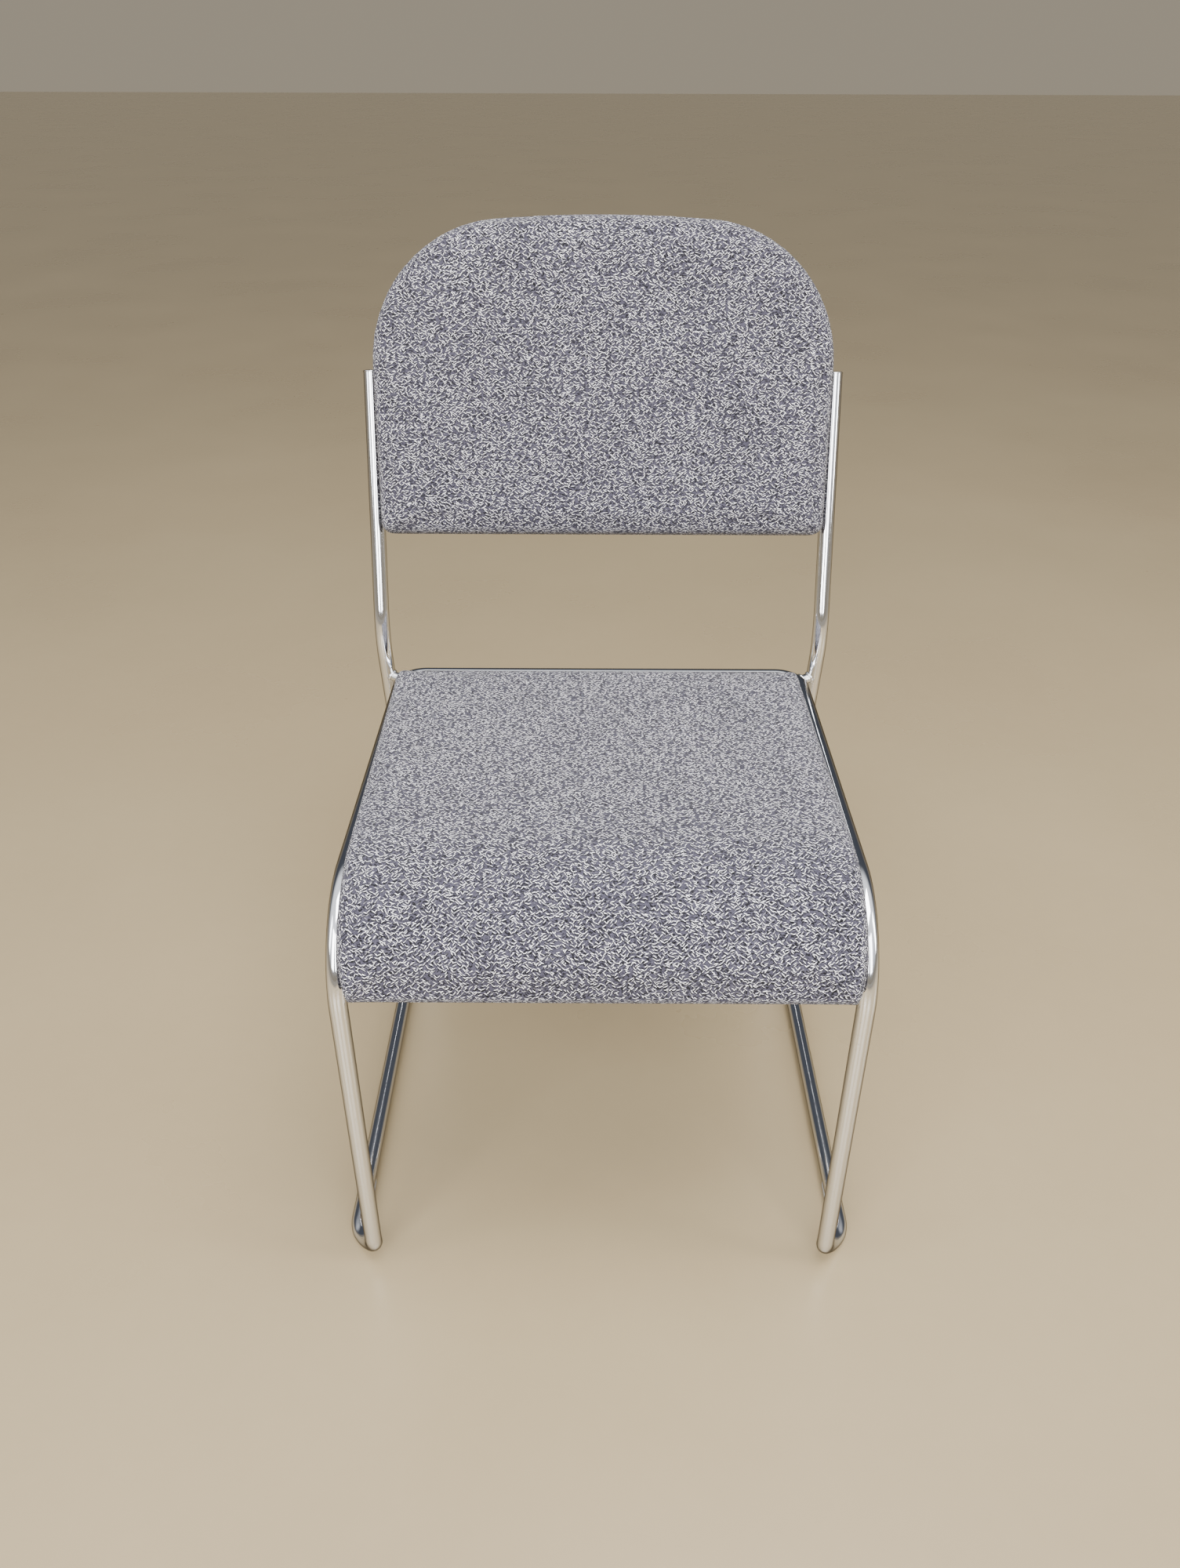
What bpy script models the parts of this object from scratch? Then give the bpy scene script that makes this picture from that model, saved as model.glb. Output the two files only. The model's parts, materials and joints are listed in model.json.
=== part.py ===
"""Sled-base stacking chair: a bent chromed tube frame with an upholstered seat and back.

Metres, +Z up. The chair stands on z = 0 and faces -Y. Its two side frames mirror each other about
x = 0. Front legs and seat rails run one tube diameter inside the uprights, and the rear legs splay
out to the runners, so that one chair can be lowered over another.
"""

import math

import bmesh
import bpy
from mathutils import Euler, Matrix, Vector

GAP = 0.0003  # air between neighbouring pieces

# Frame tube
TUBE_R = 0.008
TUBE_WALL = 0.0015
BORE_R = TUBE_R - TUBE_WALL
ARC_STEP = math.radians(8)

# Side frame: planes, heights and depths
UPRIGHT_X = 0.2346
INNER_X = UPRIGHT_X - 2 * TUBE_R - GAP  # front leg and seat rail
RUNNER_X = 0.2405
GLIDE_LIFT = 0.0022
RUNNER_Z = GLIDE_LIFT + GAP + TUBE_R
RAIL_Z = 0.4186
LEG_Y = -0.26065
CROSS_Y = LEG_Y + 0.4406
KINK_Y = LEG_Y + 0.4258
KINK_Z = 0.4717
RECLINE = math.radians(17.4)
LEG_RAKE = math.radians(15.6)
UPRIGHT_LENGTH = 0.2688
KINK_R = 0.100
REAR_FOOT_R = 0.050
FOOT_R = 0.027
TOE_RUN = 0.014  # length of level runner that already swings in
TOE_SHARE = 0.85  # of the toe, after which it is in the front leg's plane
SEAT_BEND_R = 0.086
CORNER_R = 0.027

# Small frame pieces
SLEEVE_LENGTH = 0.056
SLEEVE_WALL = 0.0015
BRACE_R = 0.007
BRACE_WALL = 0.0012
BRACE_Y = LEG_Y + 0.185
BRACE_DROP = 0.0120  # brace axis under the rail axis
LUG_R = 0.0055
CAP_R = 0.0086
CAP_HEIGHT = 0.0020
CAP_STEM = 0.011

# Glides under the runners
GLIDE_LENGTH = 0.032
GLIDE_WIDTH = 0.015
GLIDE_HEIGHT = 0.0074
STEM_R = 0.003
STEM_TOP = 0.0068
GLIDE_YS = {"front": LEG_Y + 0.078, "rear": LEG_Y + 0.468}

# Seat: a band that runs level, then bends down over the front
BEND_Y = LEG_Y + SEAT_BEND_R
BEND_Z = RAIL_Z - SEAT_BEND_R
BOARD_TOP_R = SEAT_BEND_R + TUBE_R  # level with the top of the rail
BOARD_THICKNESS = 0.010
BOARD_HALF_WIDTH = 0.2065
SEAT_WRAP = math.radians(77)
SEAT_REAR_Y = LEG_Y + 0.4050
PAD_THICKNESS = 0.0220
PAD_HALF_WIDTH = 0.2150
PAD_DRIFT = 0.0100  # the pad runs off to -X by this much per metre of depth
COVER_THICKNESS = 0.0012
LINING_THICKNESS = 0.0009
LINING_HALF_WIDTH = 0.1795
SEAT_TAB_YS = {"front": LEG_Y + 0.115, "rear": LEG_Y + 0.345}
TAB_THICKNESS = 0.003

# Back, measured up the upright from the kink and forward from the upright's axis
BACK_BOTTOM = 0.1090
BACK_HEIGHT = 0.3030
BACK_HALF_WIDTH = 0.2295
BACK_FOOT_HALF_WIDTH = 0.2265
BACK_CORNER_R = 0.135
BACK_FOOT_R = 0.013
BACK_CROWN_R = 1.45
BACK_BOARD_THICKNESS = 0.009
BACK_PAD_THICKNESS = 0.0245
BACK_PANEL_THICKNESS = 0.002
BACK_PANEL_INSET = 0.010
BACK_TAB_HEIGHTS = {"lower": 0.140, "upper": 0.240}

# Screws
SCREW_HEAD_R = 0.0046
SCREW_HEAD = 0.0028
SCREW_R = 0.0023
SCREW_LENGTH = 0.0105
SCREW_HOLE_R = SCREW_R + GAP
SCREW_SPACE = 0.0006  # depth left past the screw's point

SIDES = {"left": -1, "right": 1}

FINISHES = {  # colour, roughness, metallic
    "chrome": ((0.78, 0.78, 0.79), 0.08, 1.0),
    "zinc": ((0.55, 0.56, 0.57), 0.35, 1.0),
    "fabric": ((0.25, 0.25, 0.26), 0.95, 0.0),
    "foam": ((0.72, 0.68, 0.50), 0.95, 0.0),
    "plywood": ((0.55, 0.38, 0.22), 0.6, 0.0),
    "lining": ((0.02, 0.02, 0.02), 0.95, 0.0),
    "shell": ((0.03, 0.03, 0.03), 0.5, 0.0),
    "nylon": ((0.45, 0.45, 0.45), 0.4, 0.0),
}


# Scene helpers


def clear_scene():
    for obj in list(bpy.data.objects):
        bpy.data.objects.remove(obj, do_unlink=True)


def new_collection(name):
    collection = bpy.data.collections.new(name)
    bpy.context.scene.collection.children.link(collection)
    return collection


def finish_material(part_name, finish):
    colour, roughness, metallic = FINISHES[finish]
    material = bpy.data.materials.new(f"{part_name}_{finish}")
    material.use_nodes = True
    shader = material.node_tree.nodes["Principled BSDF"]
    shader.inputs["Base Color"].default_value = (*colour, 1.0)
    shader.inputs["Roughness"].default_value = roughness
    shader.inputs["Metallic"].default_value = metallic
    material.diffuse_color = (*colour, 1.0)
    return material


def add_part(name, mesh, finish, matrix=None, smooth_below=35):
    obj = bpy.data.objects.new(name, mesh)
    parts.objects.link(obj)
    mesh.materials.clear()
    mesh.materials.append(finish_material(name, finish))
    mesh.shade_smooth()
    mesh.set_sharp_from_angle(angle=math.radians(smooth_below))
    if matrix is not None:
        obj.matrix_world = matrix
    return obj


def add_cutter(name, mesh, matrix=None):
    obj = bpy.data.objects.new(name, mesh)
    cutters.objects.link(obj)
    obj.hide_render = True
    obj.display_type = "WIRE"
    if matrix is not None:
        obj.matrix_world = matrix
    return obj


def boolean(obj, other, operation="DIFFERENCE"):
    modifier = obj.modifiers.new(f"{operation.lower()}_{other.name}", "BOOLEAN")
    modifier.operation = operation
    modifier.object = other
    modifier.solver = "EXACT"


def bevel(obj, width, segments=2):
    modifier = obj.modifiers.new("rounded_edges", "BEVEL")
    modifier.width = width
    modifier.segments = segments
    modifier.limit_method = "ANGLE"
    modifier.angle_limit = math.radians(35)


def solidify_inwards(obj, thickness):
    modifier = obj.modifiers.new("wall", "SOLIDIFY")
    modifier.thickness = thickness
    modifier.offset = -1.0


# Shape helpers


def mesh_from_curve(curve):
    """The evaluated mesh of a curve, with its loose caps welded on and flat areas left whole."""
    holder = bpy.data.objects.new(curve.name, curve)
    bpy.context.scene.collection.objects.link(holder)
    graph = bpy.context.evaluated_depsgraph_get()
    mesh = bpy.data.meshes.new_from_object(holder.evaluated_get(graph))
    bpy.data.objects.remove(holder)
    mesh.name = curve.name
    shape = bmesh.new()
    shape.from_mesh(mesh)
    bmesh.ops.remove_doubles(shape, verts=shape.verts, dist=1e-6)
    bmesh.ops.dissolve_limit(
        shape, angle_limit=math.radians(0.1), verts=shape.verts, edges=shape.edges
    )
    shape.to_mesh(mesh)
    shape.free()
    return mesh


def tube_mesh(name, points, radius, capped, resolution=6):
    """A round tube along points: 4 + 2 * resolution sides, open or capped at its ends."""
    curve = bpy.data.curves.new(name, "CURVE")
    curve.dimensions = "3D"
    curve.bevel_depth = radius
    curve.bevel_resolution = resolution
    curve.use_fill_caps = capped
    spline = curve.splines.new("POLY")
    spline.points.add(len(points) - 1)
    for place, point in zip(spline.points, points):
        place.co = (*point, 1.0)
    return mesh_from_curve(curve)


def plate_mesh(name, outline, thickness):
    """A flat outline in the curve's own x and y, thickened evenly to both sides along z."""
    curve = bpy.data.curves.new(name, "CURVE")
    curve.dimensions = "2D"
    curve.fill_mode = "BOTH"
    curve.extrude = thickness / 2
    spline = curve.splines.new("POLY")
    spline.points.add(len(outline) - 1)
    for place, (u, v) in zip(spline.points, outline):
        place.co = (u, v, 0.0, 1.0)
    spline.use_cyclic_u = True
    return mesh_from_curve(curve)


def block_mesh(name, size):
    mesh = bpy.data.meshes.new(name)
    shape = bmesh.new()
    bmesh.ops.create_cube(shape, size=1.0, matrix=Matrix.Diagonal((*size, 1.0)))
    shape.to_mesh(mesh)
    shape.free()
    return mesh


def rod_mesh(name, radius, length, segments=24):
    """A closed cylinder along z, centred on its origin."""
    mesh = bpy.data.meshes.new(name)
    shape = bmesh.new()
    bmesh.ops.create_cone(
        shape,
        cap_ends=True,
        segments=segments,
        radius1=radius,
        radius2=radius,
        depth=length,
    )
    shape.to_mesh(mesh)
    shape.free()
    return mesh


def turned_mesh(name, profile):
    """The (radius, height) profile, listed from its top down, that Turn will spin about z."""
    mesh = bpy.data.meshes.new(name)
    points = [(radius, 0.0, height) for radius, height in profile]
    mesh.from_pydata(points, [(i, i + 1) for i in range(len(points) - 1)], [])
    return mesh


def turn(obj, steps=20):
    modifier = obj.modifiers.new("turn", "SCREW")
    modifier.steps = steps
    modifier.render_steps = steps
    modifier.use_merge_vertices = True
    modifier.merge_threshold = 1e-5
    modifier.use_smooth_shade = True


def arc(centre, radius, start, end):
    """Points (u, v) of an arc, both ends included, about one every ARC_STEP."""
    count = max(2, math.ceil(abs(end - start) / ARC_STEP))
    angles = [start + (end - start) * i / count for i in range(count + 1)]
    return [
        (centre[0] + radius * math.cos(a), centre[1] + radius * math.sin(a))
        for a in angles
    ]


def rounded_path(corners):
    """Points along straight runs through the corners, each (point, bend radius) rounded."""
    points = [corners[0][0]]
    for before, (corner, radius), after in zip(corners, corners[1:], corners[2:]):
        back = (before[0] - corner).normalized()
        ahead = (after[0] - corner).normalized()
        turn_angle = math.pi - back.angle(ahead)
        inset = radius * math.tan(turn_angle / 2)
        centre = corner + (back + ahead).normalized() * math.hypot(radius, inset)
        spoke = corner + back * inset - centre
        axis = back.cross(ahead).normalized()
        count = max(2, math.ceil(turn_angle / ARC_STEP))
        for i in range(count + 1):
            points.append(
                centre + Matrix.Rotation(-turn_angle * i / count, 3, axis) @ spoke
            )
    points.append(corners[-1][0])
    return points


def towards(start, end):
    """A placing that puts a piece made along z between two points, at their middle."""
    rotation = (end - start).to_track_quat("Z", "X").to_matrix().to_4x4()
    return Matrix.Translation((start + end) / 2) @ rotation


# Frame


def rear_leg(height):
    """The point on the centreline of the right rear leg at this height."""
    y = KINK_Y + (KINK_Z - height) * math.tan(LEG_RAKE)
    splay = (KINK_Z - height) / (KINK_Z - RUNNER_Z)
    return Vector((UPRIGHT_X + (RUNNER_X - UPRIGHT_X) * splay, y, height))


def toe_bend():
    """The runner's toe, which swings in to the front leg's plane as it bends up into the leg."""
    centre = (LEG_Y + FOOT_R, RUNNER_Z + FOOT_R)
    run = [(centre[0] + TOE_RUN * (1 - i / 3), RUNNER_Z) for i in range(3)]
    bend = run + arc(centre, FOOT_R, 1.5 * math.pi, math.pi)
    points = []
    for i, (y, z) in enumerate(bend):
        part = min(1, i / (TOE_SHARE * (len(bend) - 1)))
        ease = part * part * (3 - 2 * part)
        points.append(Vector((RUNNER_X + (INNER_X - RUNNER_X) * ease, y, z)))
    return points


def side_path():
    """The centreline of the right side frame, from the top of the upright to the cross tube."""
    top = Vector(
        (
            UPRIGHT_X,
            KINK_Y + UPRIGHT_LENGTH * math.sin(RECLINE),
            KINK_Z + UPRIGHT_LENGTH * math.cos(RECLINE),
        )
    )
    toe = toe_bend()
    outer_run = rounded_path(
        [
            (top, 0),
            (Vector((UPRIGHT_X, KINK_Y, KINK_Z)), KINK_R),
            (rear_leg(RUNNER_Z), REAR_FOOT_R),
            (toe[0], 0),
        ]
    )
    inner_run = rounded_path(
        [
            (toe[-1], 0),
            (Vector((INNER_X, LEG_Y, RAIL_Z)), SEAT_BEND_R),
            (Vector((INNER_X, CROSS_Y, RAIL_Z)), CORNER_R),
            (Vector((GAP / 2, CROSS_Y, RAIL_Z)), 0),
        ]
    )
    return outer_run[:-1] + toe + inner_run[1:]


def mirrored(points, side):
    return [Vector((side * p.x, p.y, p.z)) for p in points]


def make_side_frame(side_name, side):
    """One bent tube: upright, rear leg, runner, front leg, seat rail and half the cross tube."""
    path = mirrored(side_path(), side)
    frame = add_part(
        f"side_frame_{side_name}",
        tube_mesh(f"side_frame_{side_name}", path, TUBE_R, capped=False),
        "chrome",
    )
    solidify_inwards(frame, TUBE_WALL)
    for end, y in GLIDE_YS.items():
        hole = add_cutter(
            f"glide_hole_{end}_{side_name}",
            rod_mesh("glide_hole", STEM_R + GAP, 0.010, segments=12),
            Matrix.Translation((side * RUNNER_X, y, RUNNER_Z - TUBE_R)),
        )
        boolean(frame, hole)
    return frame


def make_envelope(side_name, side):
    """A solid tube a gap larger than the side frame, which cuts what is welded on to it."""
    path = mirrored(side_path(), side)
    return add_cutter(
        f"envelope_{side_name}",
        tube_mesh(f"envelope_{side_name}", path, TUBE_R + GAP, capped=True),
    )


def make_hollow_rod(name, half_length, radius, wall, y, z):
    ends = [Vector((-half_length, y, z)), Vector((half_length, y, z))]
    rod = add_part(name, tube_mesh(name, ends, radius, capped=False), "zinc")
    solidify_inwards(rod, wall)
    return rod


def make_cross_sleeve():
    """Joins the two halves of the cross tube from the inside."""
    make_hollow_rod(
        "cross_tube_sleeve", SLEEVE_LENGTH / 2, BORE_R - GAP, SLEEVE_WALL, CROSS_Y, RAIL_Z
    )


def make_seat_brace(envelopes):
    """A cross tube under the board, notched to fit under both seat rails."""
    brace = make_hollow_rod(
        "seat_brace", INNER_X, BRACE_R, BRACE_WALL, BRACE_Y, RAIL_Z - BRACE_DROP
    )
    for envelope in envelopes.values():
        boolean(brace, envelope)


def make_corner_lug(side_name, side, envelope):
    """A stub that ties the rear corner of the seat rail to the rear leg beside it."""
    bend_centre = Vector((side * (INNER_X - CORNER_R), CROSS_Y - CORNER_R, RAIL_Z))
    leg = rear_leg(RAIL_Z)
    leg.x *= side
    corner = bend_centre + (leg - bend_centre).normalized() * CORNER_R
    lug = add_part(
        f"corner_lug_{side_name}",
        rod_mesh("corner_lug", LUG_R, (leg - corner).length, segments=20),
        "chrome",
        towards(corner, leg),
    )
    boolean(lug, envelope)


def make_glide(side_name, side, end, envelope):
    """A saddle under the runner, with a stem that snaps into the tube."""
    y = GLIDE_YS[end]
    place = Vector((side * RUNNER_X, y, 0))
    glide = add_part(
        f"glide_{end}_{side_name}",
        block_mesh("glide", (GLIDE_WIDTH, GLIDE_LENGTH, GLIDE_HEIGHT)),
        "nylon",
        Matrix.Translation(place + Vector((0, 0, GLIDE_HEIGHT / 2))),
    )
    bevel(glide, 0.0012)
    boolean(glide, envelope)
    stem_foot = 0.001
    stem = add_cutter(
        f"glide_stem_{end}_{side_name}",
        rod_mesh("glide_stem", STEM_R, STEM_TOP - stem_foot, segments=12),
        Matrix.Translation(place + Vector((0, 0, (STEM_TOP + stem_foot) / 2))),
    )
    boolean(glide, stem, "UNION")


# Seat


def seat_band(low, high, rear_y, wrap):
    """Side outline of a band between two radii about the front bend, level behind it."""
    centre = (BEND_Y, BEND_Z)
    top, front = math.pi / 2, math.pi / 2 + wrap
    return (
        [(rear_y, BEND_Z + high)]
        + arc(centre, high, top, front)
        + arc(centre, low, front, top)
        + [(rear_y, BEND_Z + low)]
    )


def seat_mesh(name, low, high, rear_y, wrap, half_width):
    """A seat band as wide as twice half_width, drawn in the y-z plane and turned upright."""
    mesh = plate_mesh(name, seat_band(low, high, rear_y, wrap), 2 * half_width)
    mesh.transform(Matrix(((0, 0, 1, 0), (1, 0, 0, 0), (0, 1, 0, 0), (0, 0, 0, 1))))
    return mesh


def drift_matrix():
    """Shears a seat piece towards -X as it runs back from the front bend."""
    shear = Matrix.Identity(4)
    shear[0][1] = -PAD_DRIFT
    shear[0][3] = PAD_DRIFT * LEG_Y
    return shear


def make_seat_board():
    """Moulded plywood between the rails, level with their tops."""
    board = add_part(
        "seat_board",
        seat_mesh(
            "seat_board",
            BOARD_TOP_R - BOARD_THICKNESS,
            BOARD_TOP_R,
            SEAT_REAR_Y - 0.006,
            SEAT_WRAP - math.radians(3),
            BOARD_HALF_WIDTH,
        ),
        "plywood",
    )
    bevel(board, 0.0015)
    return board


def make_seat_lining():
    """Black cloth under the board."""
    top = BOARD_TOP_R - BOARD_THICKNESS - GAP
    add_part(
        "seat_lining",
        seat_mesh(
            "seat_lining",
            top - LINING_THICKNESS,
            top,
            SEAT_REAR_Y - 0.020,
            SEAT_WRAP - math.radians(10),
            LINING_HALF_WIDTH,
        ),
        "lining",
    )


def make_seat_padding():
    """The foam on the board, and the cover that goes over it and is open underneath."""
    low = BOARD_TOP_R + GAP
    high = low + PAD_THICKNESS
    skin = COVER_THICKNESS + GAP
    skin_angle = skin / low

    def padding_mesh(name, depth, inset, wrap_inset):
        mesh = seat_mesh(
            name,
            low - depth,
            high - inset,
            SEAT_REAR_Y - inset,
            SEAT_WRAP - wrap_inset,
            PAD_HALF_WIDTH - inset,
        )
        mesh.transform(drift_matrix())
        return mesh

    below_mesh = seat_mesh(
        "below_padding", low - 0.03, low, SEAT_REAR_Y + 0.02, SEAT_WRAP + 0.2, 0.25
    )
    below = add_cutter("below_padding", below_mesh)
    foam_mesh = padding_mesh("seat_foam", 0.012, skin, skin_angle)
    foam = add_part("seat_foam", foam_mesh, "foam")
    bevel(foam, 0.006, 3)
    boolean(foam, below)
    cover = add_part("seat_cover", padding_mesh("seat_cover", 0.012, 0, 0), "fabric")
    bevel(cover, 0.007, 3)
    hollow_mesh = padding_mesh("seat_hollow", 0.020, COVER_THICKNESS, COVER_THICKNESS / low)
    hollow = add_cutter("seat_hollow", hollow_mesh)
    bevel(hollow, 0.006, 3)
    boolean(cover, hollow)
    boolean(cover, below)


def screw_profile():
    return [
        (0, SCREW_HEAD),
        (SCREW_HEAD_R * 0.55, SCREW_HEAD * 0.9),
        (SCREW_HEAD_R * 0.9, SCREW_HEAD * 0.55),
        (SCREW_HEAD_R, 0),
        (SCREW_R, 0),
        (SCREW_R, -SCREW_LENGTH + SCREW_R),
        (0, -SCREW_LENGTH),
    ]


def add_screw(name, matrix):
    """A screw whose head stands on the placing's z = 0, with its shank down -z."""
    screw = add_part(name, turned_mesh(name, screw_profile()), "zinc", matrix)
    turn(screw, 16)


def screw_hole(name, matrix, length=SCREW_LENGTH + SCREW_SPACE):
    """A cutter for a screw's shank, from well outside the head's seat to past its point."""
    start, end = Vector((0, 0, 0.006)), Vector((0, 0, -length))
    return add_cutter(
        name,
        rod_mesh(name, SCREW_HOLE_R, (end - start).length, segments=16),
        matrix @ Matrix.Translation((start + end) / 2),
    )


def make_seat_fixings(board):
    """Four tabs welded inside the rails, with a screw up through each into the board."""
    tab_top = RAIL_Z + TUBE_R - BOARD_THICKNESS - 2 * GAP
    tab_size = (0.029, 0.030, TAB_THICKNESS)
    head_down = Matrix.Rotation(math.pi, 4, "X")
    for side_name, side in SIDES.items():
        for end, y in SEAT_TAB_YS.items():
            x = side * (INNER_X - TUBE_R - GAP - tab_size[0] / 2)
            tab = add_part(
                f"seat_tab_{end}_{side_name}",
                block_mesh("seat_tab", tab_size),
                "zinc",
                Matrix.Translation((x, y, tab_top - TAB_THICKNESS / 2)),
            )
            head_seat = Vector((x, y, tab_top - TAB_THICKNESS - GAP))
            placing = Matrix.Translation(head_seat) @ head_down
            add_screw(f"seat_screw_{end}_{side_name}", placing)
            hole = screw_hole(f"seat_hole_{end}_{side_name}", placing)
            boolean(tab, hole)
            boolean(board, hole)


# Back, built about the kink with x across, z up the upright and -y forward, then leaned back


def back_matrix():
    kink = Matrix.Translation((0, KINK_Y, KINK_Z))
    return kink @ Euler((-RECLINE, 0, 0)).to_matrix().to_4x4()


def back_outline(inset):
    """Half outlines joined: small lower corners, big upper corners and a slightly crowned top."""
    foot_r = max(BACK_FOOT_R - inset, 0.004)
    corner_r = BACK_CORNER_R - inset
    crown_r = BACK_CROWN_R - inset
    bottom = BACK_BOTTOM + inset
    top = BACK_BOTTOM + BACK_HEIGHT - inset
    foot = (BACK_FOOT_HALF_WIDTH - inset - foot_r, bottom + foot_r)
    corner_x = BACK_HALF_WIDTH - BACK_CORNER_R
    rise = math.sqrt((crown_r - corner_r) ** 2 - corner_x**2)
    crown_centre = (0, top - crown_r)
    corner = (corner_x, crown_centre[1] + rise)
    join = math.atan2(rise, corner_x)
    right = (
        arc(foot, foot_r, -math.pi / 2, 0)
        + arc(corner, corner_r, 0, join)
        + arc(crown_centre, crown_r, join, math.pi / 2)[1:]
    )
    left = [(-x, z) for x, z in reversed(right[:-1])]
    return right + left


def back_plate(name, inset, rear, thickness):
    """A plate with the back's outline, its rear face this far forward of the upright's axis."""
    mesh = plate_mesh(name, back_outline(inset), thickness)
    mesh.transform(Matrix.Rotation(math.pi / 2, 4, "X"))
    mesh.transform(Matrix.Translation((0, -(rear + thickness / 2), 0)))
    return mesh


BACK_BOARD_REAR = TUBE_R + GAP
BACK_PAD_REAR = BACK_BOARD_REAR + BACK_BOARD_THICKNESS + GAP
BACK_PANEL_REAR = BACK_BOARD_REAR - GAP - BACK_PANEL_THICKNESS


def make_back_board():
    board = add_part(
        "back_board",
        back_plate("back_board", 0.004, BACK_BOARD_REAR, BACK_BOARD_THICKNESS),
        "plywood",
        back_matrix(),
    )
    bevel(board, 0.0015)
    return board


def make_back_panel():
    """A thin moulded panel that hides the rear of the board between the uprights."""
    panel = add_part(
        "back_panel",
        back_plate("back_panel", BACK_PANEL_INSET, BACK_PANEL_REAR, BACK_PANEL_THICKNESS),
        "shell",
        back_matrix(),
    )
    return panel


def make_back_padding():
    """The foam on the board, and the cover that goes over it and is open behind."""
    skin = COVER_THICKNESS + GAP

    def padding_mesh(name, depth, inset):
        thickness = BACK_PAD_THICKNESS - inset + depth
        return back_plate(name, inset, BACK_PAD_REAR - depth, thickness)

    behind_mesh = block_mesh("behind_padding", (0.6, 0.04, 0.6))
    behind_place = Matrix.Translation((0, 0.02 - BACK_PAD_REAR, BACK_BOTTOM + BACK_HEIGHT / 2))
    behind = add_cutter("behind_padding", behind_mesh, back_matrix() @ behind_place)
    foam_mesh = padding_mesh("back_foam", 0.012, skin)
    foam = add_part("back_foam", foam_mesh, "foam", back_matrix())
    bevel(foam, 0.008, 3)
    boolean(foam, behind)
    cover_mesh = padding_mesh("back_cover", 0.012, 0)
    cover = add_part("back_cover", cover_mesh, "fabric", back_matrix())
    bevel(cover, 0.009, 3)
    hollow_mesh = padding_mesh("back_hollow", 0.020, COVER_THICKNESS)
    hollow = add_cutter("back_hollow", hollow_mesh, back_matrix())
    bevel(hollow, 0.008, 3)
    boolean(cover, hollow)
    boolean(cover, behind)


def make_back_fixings(board, panel):
    """Four tabs welded inside the uprights, with a screw forward through each into the board."""
    tab_size = (0.030, TAB_THICKNESS, 0.032)
    tab_rear = BACK_PANEL_REAR - GAP - TAB_THICKNESS
    facing_back = Matrix.Rotation(-math.pi / 2, 4, "X")
    for side_name, side in SIDES.items():
        for level, height in BACK_TAB_HEIGHTS.items():
            x = side * (UPRIGHT_X - TUBE_R - GAP - tab_size[0] / 2)
            tab = add_part(
                f"back_tab_{level}_{side_name}",
                block_mesh("back_tab", tab_size),
                "chrome",
                back_matrix()
                @ Matrix.Translation((x, -(tab_rear + TAB_THICKNESS / 2), height)),
            )
            head_seat = Matrix.Translation((x, GAP - tab_rear, height))
            placing = back_matrix() @ head_seat @ facing_back
            add_screw(f"back_screw_{level}_{side_name}", placing)
            hole = screw_hole(f"back_hole_{level}_{side_name}", placing)
            for obj in (tab, panel, board):
                boolean(obj, hole)


def make_upright_cap(side_name, side):
    """A plug with a rim a little wider than the tube that it closes."""
    profile = [
        (0, CAP_HEIGHT),
        (CAP_R * 0.7, CAP_HEIGHT * 0.9),
        (CAP_R * 0.94, CAP_HEIGHT * 0.55),
        (CAP_R, 0),
        (BORE_R - GAP, 0),
        (BORE_R - GAP, -CAP_STEM),
        (0, -CAP_STEM),
    ]
    name = f"upright_cap_{side_name}"
    place = Matrix.Translation((side * UPRIGHT_X, 0, UPRIGHT_LENGTH + GAP))
    cap = add_part(name, turned_mesh(name, profile), "chrome", back_matrix() @ place)
    turn(cap, 20)


def build():
    envelopes = {}
    for side_name, side in SIDES.items():
        make_side_frame(side_name, side)
        envelopes[side_name] = make_envelope(side_name, side)
        make_upright_cap(side_name, side)
        make_corner_lug(side_name, side, envelopes[side_name])
        for end in GLIDE_YS:
            make_glide(side_name, side, end, envelopes[side_name])
    make_cross_sleeve()
    make_seat_brace(envelopes)
    make_seat_fixings(make_seat_board())
    make_seat_lining()
    make_seat_padding()
    make_back_fixings(make_back_board(), make_back_panel())
    make_back_padding()


clear_scene()
parts = new_collection("stacking_chair")
cutters = new_collection("cutters")
build()
bpy.context.view_layer.update()
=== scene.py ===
"""Finished looks for a sled-base stacking chair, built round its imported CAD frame.

Metres, +Z up. The chair stands on z = 0 and faces -Y. The chromed tubes are swept again at a
finer step than the CAD has. The two pads are inflated by cloth simulation in a flat space, then
laid on the seat's bend and on the leaning back. Every surface has a procedural material.
"""

import json
import math

import bmesh
import bpy
import numpy as np
from mathutils import Matrix, Vector


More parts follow.
